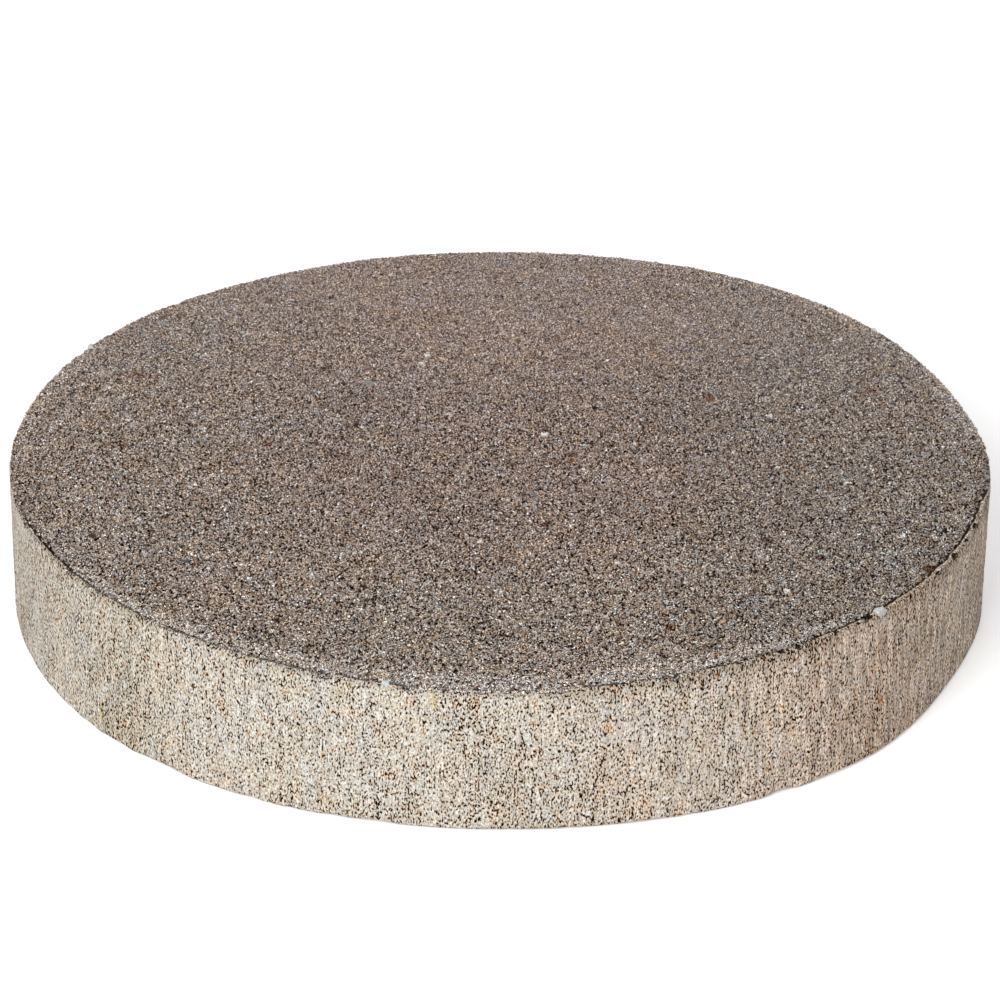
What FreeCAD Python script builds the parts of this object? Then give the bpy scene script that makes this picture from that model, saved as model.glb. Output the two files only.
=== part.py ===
"""Round garden stepping stone: one disc of pressed concrete, with a straight wall and worn edges.

Millimetres, +Z up. The origin is the centre of the base, so the stone lies on the plane Z = 0.
"""

import FreeCAD, Part
import math
import os

# Driving dimensions
DIAMETER = 305.0  # across the wall, a nominal 12 inch stone
THICKNESS = 47.0  # from the base to the tread
TREAD_EDGE_RADIUS = 2.0  # the upper edge, rounded by wear and handling
BASE_EDGE_RADIUS = 1.5  # the lower edge, as it came off the mould board

OUTPUT_FOLDER = "parts"
NODE = "stepping_stone"

AXIS_FOOT = FreeCAD.Vector(0, 0, 0)
UPWARD = FreeCAD.Vector(0, 0, 1)
FULL_TURN = 360.0
QUARTER_TURN = 90.0


def section_point(radius, height):
    """A point of the half section, in the XZ plane."""
    return FreeCAD.Vector(radius, 0, height)


def edge_round(centre_radius, centre_height, size, start):
    """A quarter circle of the half section, turning anticlockwise from the angle start, in degrees."""

    def on_circle(degrees):
        angle = math.radians(degrees)
        return section_point(
            centre_radius + size * math.cos(angle),
            centre_height + size * math.sin(angle),
        )

    middle = start + QUARTER_TURN / 2
    end = start + QUARTER_TURN
    return Part.Arc(on_circle(start), on_circle(middle), on_circle(end)).toShape()


def half_section():
    """The closed outline that is turned into the disc, from the base outwards, up the wall and back."""
    wall = DIAMETER / 2
    base_rim = wall - BASE_EDGE_RADIUS
    tread_rim = wall - TREAD_EDGE_RADIUS
    tread_edge_foot = THICKNESS - TREAD_EDGE_RADIUS

    axis_foot = section_point(0, 0)
    axis_head = section_point(0, THICKNESS)
    wall_foot = section_point(wall, BASE_EDGE_RADIUS)
    wall_head = section_point(wall, tread_edge_foot)
    return Part.Wire(
        [
            Part.makeLine(axis_foot, section_point(base_rim, 0)),
            edge_round(base_rim, BASE_EDGE_RADIUS, BASE_EDGE_RADIUS, -QUARTER_TURN),
            Part.makeLine(wall_foot, wall_head),
            edge_round(tread_rim, tread_edge_foot, TREAD_EDGE_RADIUS, 0),
            Part.makeLine(section_point(tread_rim, THICKNESS), axis_head),
            Part.makeLine(axis_head, axis_foot),
        ]
    )


def stepping_stone():
    """The whole stone, turned from its half section."""
    return Part.Face(half_section()).revolve(AXIS_FOOT, UPWARD, FULL_TURN)


def main():
    stone = stepping_stone()
    os.makedirs(OUTPUT_FOLDER, exist_ok=True)
    stone.exportStep(os.path.join(OUTPUT_FOLDER, NODE + ".step"))
    print(NODE, stone.ShapeType, "valid:", stone.isValid(), "volume in mm3:", round(stone.Volume))


main()
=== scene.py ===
"""Garden stepping stone: the stone as it looks, on a pale floor in soft light, from the photograph's angle.

Blender works in metres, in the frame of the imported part: +Z up, the base centre at the origin and the camera
on the -Y side. The shaping code works in millimetres, and the mesh is scaled once, when it is made.
"""

import itertools
from math import cos, pi, radians, sin, sqrt

import bmesh
import bpy
import numpy as np
from mathutils import Matrix, Vector
from mathutils.geometry import delaunay_2d_cdt


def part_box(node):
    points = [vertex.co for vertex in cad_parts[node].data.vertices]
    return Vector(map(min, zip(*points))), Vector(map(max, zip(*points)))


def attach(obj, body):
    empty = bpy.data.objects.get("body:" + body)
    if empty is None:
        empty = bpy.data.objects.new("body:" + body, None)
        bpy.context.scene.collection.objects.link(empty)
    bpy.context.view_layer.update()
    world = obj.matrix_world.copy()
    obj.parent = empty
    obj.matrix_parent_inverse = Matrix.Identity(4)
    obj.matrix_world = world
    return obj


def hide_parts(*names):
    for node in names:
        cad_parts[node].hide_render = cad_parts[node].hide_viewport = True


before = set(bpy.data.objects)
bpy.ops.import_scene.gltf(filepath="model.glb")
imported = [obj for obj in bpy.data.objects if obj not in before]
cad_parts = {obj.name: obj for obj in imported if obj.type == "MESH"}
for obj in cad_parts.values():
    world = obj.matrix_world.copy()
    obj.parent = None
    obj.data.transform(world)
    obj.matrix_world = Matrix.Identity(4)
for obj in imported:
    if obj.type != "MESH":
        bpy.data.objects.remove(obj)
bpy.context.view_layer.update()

MM = 0.001
NODE = "stepping_stone"
node_low, node_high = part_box(NODE)
RADIUS = (node_high.x - node_low.x) / 2 / MM
THICKNESS = node_high.z / MM

# Noise


HASH_STEPS = np.array([73856093, 19349663, 83492791], dtype=np.int64)
HASH_SEED_STEP = 982451653
HASH_FACTOR = np.uint64(0xFF51AFD7ED558CCD)
HASH_SHIFT = np.uint64(33)


def lattice_values(cells, seed):
    """A repeatable value from -1 to 1 for each whole-number cell."""
    mixed = (cells.astype(np.int64) * HASH_STEPS).sum(axis=1) + seed * HASH_SEED_STEP
    mixed = mixed.astype(np.uint64)
    for _ in range(2):
        mixed = mixed ^ (mixed >> HASH_SHIFT)
        mixed = mixed * HASH_FACTOR
    mixed = mixed ^ (mixed >> HASH_SHIFT)
    return mixed.astype(np.float64) / 2.0**63 - 1.0


def noise(points, size, seed):
    """Smooth noise from -1 to 1, with features about as large as size, which may differ by axis."""
    scaled = points / np.asarray(size, dtype=float)
    corner = np.floor(scaled)
    part = scaled - corner
    part = part * part * (3 - 2 * part)
    total = np.zeros(len(points))
    for step in itertools.product((0, 1), repeat=3):
        step = np.array(step)
        share = np.prod(np.where(step, part, 1 - part), axis=1)
        total += share * lattice_values(corner + step, seed)
    return total


def layered(points, layers):
    """The sum of several noises, each given as its height, the size of its features and its seed."""
    return sum(height * noise(points, size, seed) for height, size, seed in layers)


def smooth_step(value, low, high):
    """0 below low, 1 above high, and a smooth rise between."""
    share = np.clip((value - low) / (high - low), 0, 1)
    return share * share * (3 - 2 * share)


def hump(value, centre, half_width):
    """1 at the centre, falling smoothly to 0 at half_width from it."""
    share = np.clip(1 - np.abs(value - centre) / half_width, 0, 1)
    return share * share * (3 - 2 * share)


def turn_from(angle, centre):
    """The signed angle from centre, from minus half a turn to half a turn."""
    return (angle - centre + pi) % (2 * pi) - pi


def rim_arc(start, end):
    """A stretch of the rim, from two angles in degrees."""
    return radians(start), radians(end)


# Layout of the stone's points: rows round the rim and wall, and scattered points on the tread and the base

RIM_STEPS = 924
EDGE_RADIUS = 0.9
BASE_EDGE = 0.8
TREAD_INSETS = (5.0, 4.2, 3.5, 2.9, 2.3, 1.8, 1.35, 0.95, 0.6, 0.3, 0.1)
WALL_TOP_DROPS = (1.3, 1.8, 2.4)
WALL_ROWS = 36
BASE_INSETS = (0.25, 0.8, 1.8, 3.2)
TREAD_SPACING = 1.7
BASE_SPACING = 3.2
# Shares of the spacing: how far points are shaken, and how far scattered ones stay from their ring
JITTER = 0.28
BORDER_GAP = 0.55
# Settings of the triangulation: triangles inside the border only, and where it joins points
TRIANGLES_INSIDE = 1
JOIN_DISTANCE = 1e-6

draws = np.random.default_rng(20261127)


def edge_drop(inset, size):
    """How far the rounded edge has dropped at this inset from the wall."""
    if inset >= size:
        return 0.0
    return size - sqrt(size * size - (size - inset) ** 2)


def profile_rows():
    """(inset, drop) of every row, from the tread over the edge, down the wall and under the base edge."""
    rows = [(inset, edge_drop(inset, EDGE_RADIUS)) for inset in TREAD_INSETS]
    wall_drops = np.linspace(WALL_TOP_DROPS[-1], THICKNESS - BASE_EDGE, WALL_ROWS)
    rows += [(0.0, drop) for drop in (EDGE_RADIUS, *WALL_TOP_DROPS[:-1], *wall_drops)]
    rows += [(inset, THICKNESS - edge_drop(inset, BASE_EDGE)) for inset in BASE_INSETS]
    return np.array(rows)


def scattered(radius, spacing):
    """Points of a shaken triangular grid inside a circle."""
    row_gap = spacing * sqrt(3) / 2
    rows = int(radius / row_gap) + 1
    columns = int(radius / spacing) + 2
    grid_x, grid_y = np.meshgrid(np.arange(-columns, columns + 1), np.arange(-rows, rows + 1))
    x = (grid_x + 0.5 * (grid_y % 2)) * spacing
    y = grid_y * row_gap
    points = np.column_stack([x.ravel(), y.ravel()])
    points += draws.uniform(-JITTER, JITTER, points.shape) * spacing
    return points[np.hypot(points[:, 0], points[:, 1]) < radius - spacing * BORDER_GAP]


def ring_angles():
    return np.arange(RIM_STEPS) * 2 * pi / RIM_STEPS


def disc_faces(inner, ring_radius):
    """Triangles over scattered points and the ring round them, whose points are numbered last."""
    angles = ring_angles()
    ring = np.column_stack([np.cos(angles), np.sin(angles)]) * ring_radius
    points = np.vstack([inner, ring])
    first = len(inner)
    border = [(first + step, first + (step + 1) % RIM_STEPS) for step in range(RIM_STEPS)]
    vectors = [Vector(point) for point in points]
    made, _, faces, _, _, _ = delaunay_2d_cdt(vectors, border, [], TRIANGLES_INSIDE, JOIN_DISTANCE)
    if len(made) != len(points):
        raise RuntimeError("the triangulation added or merged points")
    return np.array(faces, dtype=np.int64)


def plan_inset(plan):
    """How far points in plan lie in from the nominal rim."""
    return RADIUS - np.hypot(*plan.T)


def plan_angle(plan):
    """The angles of points in plan."""
    return np.arctan2(plan[:, 1], plan[:, 0])


rows = profile_rows()
tread_inner = scattered(RADIUS - rows[0, 0], TREAD_SPACING)
base_inner = scattered(RADIUS - rows[-1, 0], BASE_SPACING)
tread_disc = disc_faces(tread_inner, RADIUS - rows[0, 0])
base_disc = disc_faces(base_inner, RADIUS - rows[-1, 0])

tread_count = len(tread_inner)
row_count = len(rows)
ring_first = tread_count
base_first = ring_first + row_count * RIM_STEPS

ring_angle = np.tile(ring_angles(), row_count)
ring_inset = np.repeat(rows[:, 0], RIM_STEPS)
ring_drop = np.repeat(rows[:, 1], RIM_STEPS)
ring_row = np.repeat(np.arange(row_count), RIM_STEPS)

inset = np.concatenate([plan_inset(tread_inner), ring_inset, plan_inset(base_inner)])
drop = np.concatenate([np.zeros(tread_count), ring_drop, np.full(len(base_inner), THICKNESS)])
angle = np.concatenate([plan_angle(tread_inner), ring_angle, plan_angle(base_inner)])
on_wall_rows = np.zeros(len(inset), dtype=bool)
first_wall_row = len(TREAD_INSETS) + len(WALL_TOP_DROPS)
last_wall_row = first_wall_row + WALL_ROWS - 1
on_wall_rows[ring_first:base_first] = (ring_row > first_wall_row) & (ring_row < last_wall_row)

# The points of the rows are shaken a little, so that no grid shows
row_gap = (THICKNESS - WALL_TOP_DROPS[-1] - BASE_EDGE) / (WALL_ROWS - 1)
step_angle = 2 * pi / RIM_STEPS
shake = draws.uniform(-JITTER, JITTER, (len(inset), 2))
drop = drop + np.where(on_wall_rows, shake[:, 0] * row_gap, 0)
on_rows = np.zeros(len(inset), dtype=bool)
on_rows[ring_first:base_first] = (ring_row > 0) & (ring_row < row_count - 1)
angle = angle + np.where(on_rows, shake[:, 1] * step_angle, 0)

# Shape of the stone


def rim_point(angle):
    """The point of the nominal rim at an angle, where the noise along the rim is read."""
    return np.column_stack([RADIUS * np.cos(angle), RADIUS * np.sin(angle), np.zeros(len(angle))])


# The disc is a little out of round: how many waves there are round the rim, and their cosine and sine part
ROUND_WAVES = ((0, 0.50, 0.0), (2, -0.60, 0.02), (3, -0.80, -0.17), (4, -1.00, -0.50))
BACK_FADE = (-0.2, 0.2)
# Stretches of the rim that stand in or out beside the waves: middle, half length, and how far out
RIM_SWELLS = ((radians(-26), radians(21), -2.2), (radians(0), radians(24), 1.1))


def back_share(angle):
    """1 at the back half of the rim, 0 at the front."""
    return smooth_step(np.sin(angle), *BACK_FADE)


def rim_swell(angle, drop):
    """How far the wall stands out from the nominal circle: evenly at the back, most at the foot in front."""
    swell = np.zeros(len(angle))
    for wave, cosine, sine in ROUND_WAVES:
        swell = swell + (cosine * np.cos(wave * angle) + sine * np.sin(wave * angle))
    for centre, half_length, height in RIM_SWELLS:
        swell = swell + height * hump(turn_from(angle, centre), 0, half_length)
    back = back_share(angle)
    return swell * (back + (1 - back) * np.clip(drop / THICKNESS, 0, 1))


def plan_point(angle, inset, drop):
    """The place of a point, given by its angle, its inset from the wall and its drop from the tread."""
    radius = (RADIUS - inset) * (1 + rim_swell(angle, drop) / RADIUS)
    return np.column_stack([radius * np.cos(angle), radius * np.sin(angle), THICKNESS - drop])


# Upper edge: a worn stretch at the front, chips all round, and a thin lip of wall skin along some stretches
WORN_ARC = rim_arc(-105, -70)
LEFT_LIP_ARC = rim_arc(-161, -100)
RIGHT_LIP_ARC = rim_arc(-81, -9)
RIGHT_SIDE_ARC = rim_arc(-85, 60)
FRONT_ARC = rim_arc(-150, -48)
FRONT_BLEND = radians(8)
ARC_BLEND = radians(4)
SHOULDER_FALL = 0.12
WORN_FALL = 0.2
SHOULDER_WIDTH = 9.0
EDGE_CUT = 0.35
WORN_EDGE_CUT = 0.45
CHIP_COUNT = 110
CHIP_LENGTHS = (1.0, 4.0)
CHIP_DEPTHS = (0.3, 1.2)
BACK_CALM = 0.7
LIP_CALM = 0.65
EDGE_WAVES = ((0.6, 5.0, 11), (0.5, 2.0, 12))
FALL_WAVES = ((0.35, 9.0, 13),)
CHIPS = [
    (draws.uniform(-pi, pi), draws.uniform(*CHIP_LENGTHS) / RADIUS, draws.uniform(*CHIP_DEPTHS))
    for _ in range(CHIP_COUNT)
]


def arc_share(angle, arc, blend=ARC_BLEND):
    """1 inside an arc of the rim, 0 outside it, with soft ends."""
    half = (arc[1] - arc[0]) / 2
    away = np.abs(turn_from(angle, arc[0] + half))
    return 1 - smooth_step(away, half - blend, half + blend)


def lip_share(angle):
    """1 where a thin lip of the wall's skin stands beside the tread, 0 where the edge is open sand."""
    return np.maximum(arc_share(angle, LEFT_LIP_ARC), arc_share(angle, RIGHT_LIP_ARC))


# Fainter patches of the border at the back, rubbed and with painted light: their strength, size, seed, and
# noise from clear to full
BACK_RUBBED = 0.6
BACK_PATCH = (30.0, 18)
BACK_PATCH_EDGE = (-0.4, 0.5)


def front_share(angle):
    """1 along the front, where the tread's border is rubbed and has painted light on it, with fainter patches
    at the back.
    """
    patchy = BACK_RUBBED * smooth_step(noise(rim_point(angle), *BACK_PATCH), *BACK_PATCH_EDGE)
    return np.maximum(arc_share(angle, FRONT_ARC, FRONT_BLEND), patchy)


# The lighter border, rubbed and with painted light on it, is widest at the front
RUBBED_FADE = (6.0, 11.0)
RUBBED_SIDE_REACH = 0.6
RUBBED_WIDE_ARC = rim_arc(-128, -55)
RUBBED_BLEND = radians(15)


def rubbed_and_lit_share(angle, inset):
    """1 on the tread's lighter border, rubbed and with painted light on it, 0 further in."""
    wide = arc_share(angle, RUBBED_WIDE_ARC, RUBBED_BLEND)
    reach = RUBBED_SIDE_REACH + (1 - RUBBED_SIDE_REACH) * wide
    share = front_share(angle) * (1 - smooth_step(inset / reach, *RUBBED_FADE))
    return share * (1 - dirt_share(angle, inset))


DIRTY_ARCS = (rim_arc(-185, -149), rim_arc(-66, -2))
DIRT_FADE = (0.5, 3.6)


def dirt_share(angle, inset):
    """1 on the tread beside the lip, along the stretches where dirt has settled there."""
    along = np.maximum(arc_share(angle, DIRTY_ARCS[0]), arc_share(angle, DIRTY_ARCS[1]))
    return along * (1 - smooth_step(inset - lip_width(angle), *DIRT_FADE))


def upper_cut(angle):
    """How much of the upper corner is gone: inset plus drop of the surface that is left."""
    rim = rim_point(angle)
    is_open = 1 - lip_share(angle)
    ragged = layered(rim, EDGE_WAVES) * (1 - LIP_CALM + LIP_CALM * is_open)
    for centre, half_length, depth in CHIPS:
        ragged = ragged + depth * hump(turn_from(angle, centre), 0, half_length)
    return EDGE_CUT + WORN_EDGE_CUT * is_open + ragged * (1 - BACK_CALM * back_share(angle))


GROOVE_DEPTH = 0.65
GROOVE_BREAKS = (-1.0, 0.1)
GROOVE_BREAK = (5.0, 45)
GROOVE_HALF_WIDTH = 0.6
LIP_WIDTH = 0.25
LIP_WAVES = ((0.22, 4.0, 32), (0.25, 1.8, 33))
LEFT_LIP_EXTRA = 0.4
RIGHT_LIP_EXTRA = 0.65
RIGHT_LIP_MORE = 0.55
RIGHT_LIP_STARTS = rim_arc(-78, -64)
RIGHT_LIP_GROWS = rim_arc(-62, -25)


def lip_width(angle):
    """Width of the lip's top, which is wider on the left and grows along the right side."""
    turned = turn_from(angle, 0.0)
    extra = RIGHT_LIP_EXTRA * smooth_step(turned, *RIGHT_LIP_STARTS)
    extra = extra + RIGHT_LIP_MORE * smooth_step(turned, *RIGHT_LIP_GROWS)
    ragged = layered(rim_point(angle), LIP_WAVES)
    left = LEFT_LIP_EXTRA * arc_share(angle, LEFT_LIP_ARC)
    return LIP_WIDTH + left + extra * arc_share(angle, RIGHT_LIP_ARC) + ragged


def groove_share(angle, inset):
    """1 along the bottom of the groove beside the lip."""
    return lip_share(angle) * hump(inset, lip_width(angle) + GROOVE_HALF_WIDTH, GROOVE_HALF_WIDTH)


def upper_edge(angle, inset, drop):
    """Inset and drop after the groove, the worn shoulder and the lost corner, and how much is lost."""
    near_top = np.clip(1 - drop / SHOULDER_WIDTH, 0, 1)
    groove = GROOVE_DEPTH * groove_share(angle, inset)
    fall = SHOULDER_FALL * front_share(angle) + WORN_FALL * arc_share(angle, WORN_ARC)
    fall = fall * (1 + layered(rim_point(angle), FALL_WAVES))
    shoulder = fall * np.clip(1 - inset / SHOULDER_WIDTH, 0, 1) ** 2
    drop = drop + (groove + shoulder) * near_top
    lost = np.clip(upper_cut(angle) - inset - drop, 0, None)
    return inset + lost / 2, drop + lost / 2, lost


# Lower edge: a ragged cut, and nicks given by their angle, half length along the rim and depth
LOWER_CUT = 0.5
LOWER_WAVES = ((0.5, 4.0, 15),)
NICK_WAVES = ((0.3, 3.0, 16),)
NICK_SLOPE = 0.45
NICK_REACH = 6
NICKS = (
    (radians(-130.5), 13.0, 1.1),
    (radians(-57), 8.0, 0.9),
    (radians(24), 9.0, 2.2),
    (radians(112), 13.0, 2.4),
    (radians(171), 7.0, 1.7),
)


def lower_edge(angle, inset, height):
    """Inset after the nicks of the lower edge."""
    rim = rim_point(angle)
    cut = LOWER_CUT + layered(rim, LOWER_WAVES)
    for centre, half_length, depth in NICKS:
        along = turn_from(angle, centre)
        cut = cut + depth * hump(along, 0, half_length / RADIUS) * (1 + layered(rim, NICK_WAVES))
    return inset + np.clip(cut - height - NICK_SLOPE * inset, 0, None) * (height < NICK_REACH)


# A smear of smooth paste on the tread: x, y, half length along x and along y
SMEAR = (-43.7, 48.2, 4.6, 3.8)
SMEAR_WAVES = ((1.2, 1.6, 31),)
ELLIPSE_EDGE = (0.45, 1.15)


def ellipse_share(points, x, y, half_x, half_y):
    """1 at the middle of an ellipse in plan, 0 outside it."""
    away = np.hypot((points[:, 0] - x) / half_x, (points[:, 1] - y) / half_y)
    return 1 - smooth_step(away, *ELLIPSE_EDGE)


def smear_share(points):
    """How far the tread's sand is covered with smooth paste, with ragged borders."""
    return np.clip(ellipse_share(points, *SMEAR) * (1 + layered(points, SMEAR_WAVES)), 0, 1)


DUST_FADE = (0.0, 140.0)
DUST_WAVES = ((0.35, 45.0, 29),)
IN_PLAN = np.array([1, 1, 0])


def dust_share(points):
    """How far dust fills the tread's pores: from 0 at the front to 1 at the back, in soft patches."""
    patches = 1 + layered(points * IN_PLAN, DUST_WAVES)
    return np.clip(smooth_step(points[:, 1], *DUST_FADE) * patches, 0, 1)


CLEAN_FADE = (0.0, 110.0)


def clean_share(points):
    """How far the tread's front is washed clean, with darker painted shade between its grains: from 0 across
    the middle to 1 near the front rim.
    """
    return smooth_step(-points[:, 1], *CLEAN_FADE)


# Unevenness of the three faces
TREAD_WAVES = ((0.30, 38.0, 21), (0.14, 9.0, 22), (0.10, 3.3, 23))
WALL_WAVES = ((0.35, 34.0, 24), (0.10, (3.0, 3.0, 22.0), 25), (0.14, 3.0, 26))
BASE_WAVES = ((0.25, 20.0, 27), (0.12, 7.0, 28))
BASE_SINK = 0.35


def tread_relief(points):
    return layered(points * IN_PLAN, TREAD_WAVES)


def wall_relief(points):
    return layered(points, WALL_WAVES)


def base_relief(points):
    return layered(points, BASE_WAVES) - BASE_SINK


# The paste lies this deep between the grains, less so under the smear and on the rubbed border
TREAD_PASTE_DEPTH = 0.6
PASTE_FROM_LIP = (0.2, 1.2)
SMEAR_FILL = 0.75
RUBBED_FILL = 0.2
# Where the tread's relief ends on the edge, and the base's relief at the foot of the wall
TREAD_REACH = 3.0
TREAD_REACH_SLOPE = 0.6
TREAD_FADE = (0.5, 2.8)
BASE_REACH = 2.0
BASE_FADE = (0.5, 1.5)
TREAD_GRIT = 0.10
WALL_GRIT = 0.07

nominal = plan_point(angle, inset, drop)
nominal_inset = inset
nominal_drop = drop
inset, drop, lost = upper_edge(angle, inset, drop)
inset = lower_edge(angle, inset, THICKNESS - drop)
height = THICKNESS - drop

lip = lip_share(angle)
smear = smear_share(nominal) * (nominal_drop < EDGE_RADIUS)
past_lip = nominal_inset - lip_width(angle)
rubbed_and_lit = rubbed_and_lit_share(angle, nominal_inset)
is_open = np.maximum(smooth_step(past_lip, *PASTE_FROM_LIP), 1 - lip)
is_open = is_open * (1 - SMEAR_FILL * smear) * (1 - RUBBED_FILL * rubbed_and_lit)
up_reach = TREAD_REACH + TREAD_REACH_SLOPE * np.minimum(nominal_inset, TREAD_REACH)
up_share = smooth_step(up_reach - nominal_drop, *TREAD_FADE)
down_share = smooth_step(BASE_REACH - height, *BASE_FADE)
wall_share = np.clip(1 - up_share - down_share, 0, 1)
grit = draws.uniform(-1, 1, len(inset))
drop = drop - up_share * (tread_relief(nominal) + TREAD_GRIT * grit - TREAD_PASTE_DEPTH * is_open)
inset = inset - wall_share * (wall_relief(nominal) + WALL_GRIT * grit)
drop = drop + down_share * np.minimum(base_relief(nominal), 0)
drop = np.minimum(drop, THICKNESS)
stone_points = plan_point(angle, inset, drop) * MM


def strip_faces():
    """Triangles between neighbouring rows."""
    upper = np.arange(row_count - 1).repeat(RIM_STEPS) * RIM_STEPS
    column = np.tile(np.arange(RIM_STEPS), row_count - 1)
    following = (column + 1) % RIM_STEPS
    a = ring_first + upper + column
    b = ring_first + upper + following
    c = ring_first + upper + RIM_STEPS + following
    d = ring_first + upper + RIM_STEPS + column
    odd = (column + upper // RIM_STEPS) % 2 == 1
    first = np.where(odd[:, None], np.column_stack([a, d, b]), np.column_stack([a, d, c]))
    second = np.where(odd[:, None], np.column_stack([b, d, c]), np.column_stack([a, c, b]))
    return np.vstack([first, second])


# The base disc's numbers: its scattered points come after the rows, and its ring is the last row
inner_numbers = base_first + np.arange(len(base_inner))
ring_numbers = ring_first + (row_count - 1) * RIM_STEPS + np.arange(RIM_STEPS)
base_faces = np.concatenate([inner_numbers, ring_numbers])[base_disc][:, ::-1]
stone_faces = np.vstack([tread_disc, strip_faces(), base_faces])


def add_object(name, data):
    """A new object in the scene."""
    thing = bpy.data.objects.new(name, data)
    bpy.context.scene.collection.objects.link(thing)
    return thing


def make_mesh(name, points, faces, smooth=True):
    mesh = bpy.data.meshes.new(name)
    mesh.vertices.add(len(points))
    mesh.vertices.foreach_set("co", points.astype(np.float32).ravel())
    mesh.loops.add(faces.size)
    mesh.loops.foreach_set("vertex_index", faces.astype(np.int32).ravel())
    mesh.polygons.add(len(faces))
    mesh.polygons.foreach_set("loop_start", np.arange(0, faces.size, 3, dtype=np.int32))
    mesh.update(calc_edges=True)
    mesh.validate()
    if smooth:
        mesh.shade_smooth()
    else:
        mesh.shade_flat()
    return add_object(name, mesh)


def add_values(thing, name, values):
    attribute = thing.data.attributes.new(name, "FLOAT", "POINT")
    attribute.data.foreach_set("value", values.astype(np.float32))


def add_colours(thing, name, colours):
    attribute = thing.data.attributes.new(name, "FLOAT_COLOR", "POINT")
    opaque = np.column_stack([colours, np.ones(len(colours))])
    attribute.data.foreach_set("color", opaque.astype(np.float32).ravel())


stone = make_mesh("stone", stone_points, stone_faces)

# The line between the two finishes runs just inside a lip, and a little down the wall where the edge is open
LIP_ZONE = 0.35
OPEN_LINE = -0.1
OPEN_ZONE = 0.6
LINE_SLOPE = 0.8
BROKEN_EDGE = (0.1, 0.5)
BASE_EDGE_FADE = (0.3, 1.5)
BASE_LAYER = 0.4
past_line = nominal_inset - LINE_SLOPE * nominal_drop - (lip_width(angle) * lip + OPEN_LINE * (1 - lip))
zone = LIP_ZONE * lip + OPEN_ZONE * (1 - lip)
tread_share = np.clip(0.5 + past_line / (2 * zone), 0, 1)
tread_share = np.maximum(tread_share, smooth_step(lost, *BROKEN_EDGE)) * (height > THICKNESS / 2)
add_values(stone, "tread_share", tread_share)
is_base = nominal_drop > THICKNESS - BASE_LAYER
add_values(stone, "base_share", smooth_step(nominal_inset, *BASE_EDGE_FADE) * is_base)

# Grime runs down from the upper edge, further on the right side
GRIME_REACH = 2.6
GRIME_REACH_RIGHT = 2.4
GRIME_WAVES = ((0.4, 9.0, 17),)
right_side = arc_share(angle, RIGHT_SIDE_ARC)
grime_reach = GRIME_REACH + GRIME_REACH_RIGHT * right_side
grime_reach = grime_reach * (1 + layered(rim_point(angle), GRIME_WAVES))
grime = np.clip(1 - nominal_drop / grime_reach, 0, 1) * np.clip(1 - nominal_inset, 0, 1)
add_values(stone, "grime", grime)
add_values(stone, "smear", smear)
# Along the groove beside the lip the tread is painted dark as painted shade, broken in places, and the lighter
# border stops there
groove = groove_share(angle, nominal_inset) * (nominal_drop < EDGE_RADIUS)
groove = groove * smooth_step(noise(rim_point(angle), *GROOVE_BREAK), *GROOVE_BREAKS)
add_values(stone, "rubbed_and_lit", rubbed_and_lit * (1 - groove))
add_values(stone, "groove", groove)
add_values(stone, "dust", dust_share(nominal))
add_values(stone, "clean", clean_share(nominal))

# Colours of stains, which the wall's own colour is multiplied with
YELLOW_STAIN = (1.00, 0.90, 0.66)
PINK_STAIN = (1.00, 0.94, 0.92)
FAINT_YELLOW = (1.00, 0.95, 0.84)
ORANGE_STAIN = (1.02, 0.72, 0.48)
# The wall's tints, the arcs that are tinted as on the right and rough, and their soft ends
RIGHT_TINT = (1.035, 0.970, 0.955)
LEFT_TINT = (0.975, 0.99, 1.02)
TINTED_ARC = rim_arc(-70, 20)
TINT_BLEND = radians(25)
ROUGH_ARC = rim_arc(-62, 20)
# Broad stains: middle and half length, both as angles, and the colour
BROADER_STAINS = (
    (radians(-43), radians(22), (0.93, 0.895, 0.865)),
    (radians(-135), radians(13), (0.93, 0.925, 0.885)),
    (radians(-114), radians(14), (0.945, 0.955, 0.965)),
    (radians(-66), radians(10), (0.94, 0.955, 0.965)),
)
# Smaller stains: angle, drop, half length along the rim, half height and colour
STAINS = [
    (radians(-78.0), 14.4, 1.5, 2.3, ORANGE_STAIN),
    (radians(-42.8), 29.0, 1.2, 2.3, ORANGE_STAIN),
    (radians(-97.0), 4.8, 1.5, 3.6, YELLOW_STAIN),
    (radians(-99.4), 4.6, 2.4, 3.4, PINK_STAIN),
    (radians(-140.4), 40.0, 1.6, 4.6, YELLOW_STAIN),
]
STAIN_COUNT = 24
STAIN_MARGIN = 4
STAIN_HALF_LENGTHS = (1.2, 3.0)
STAIN_HALF_HEIGHTS = (1.5, 5.0)
STAIN_EDGE = (0.4, 1.1)
for _ in range(STAIN_COUNT):
    STAINS.append(
        (
            draws.uniform(-pi, pi),
            draws.uniform(STAIN_MARGIN, THICKNESS - STAIN_MARGIN),
            draws.uniform(*STAIN_HALF_LENGTHS),
            draws.uniform(*STAIN_HALF_HEIGHTS),
            (FAINT_YELLOW, PINK_STAIN)[draws.choice(2)],
        )
    )


def wall_tint():
    """A colour for every point of the stone, which the wall's colour is multiplied with."""
    right = arc_share(angle, TINTED_ARC, TINT_BLEND)
    tint = np.array(LEFT_TINT) + right[:, None] * (np.array(RIGHT_TINT) - np.array(LEFT_TINT))
    for centre, half, colour in BROADER_STAINS:
        share = hump(turn_from(angle, centre), 0, half)
        tint = tint * (1 + share[:, None] * (np.array(colour) - 1))
    for centre, at_drop, half_length, half_height, colour in STAINS:
        along = turn_from(angle, centre) * RADIUS / half_length
        upright = (nominal_drop - at_drop) / half_height
        share = 1 - smooth_step(np.hypot(along, upright), *STAIN_EDGE)
        tint = tint * (1 + share[:, None] * (np.array(colour) - 1))
    return tint


add_colours(stone, "tint", wall_tint())
add_values(stone, "rough_side", arc_share(angle, ROUGH_ARC, TINT_BLEND))

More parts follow.
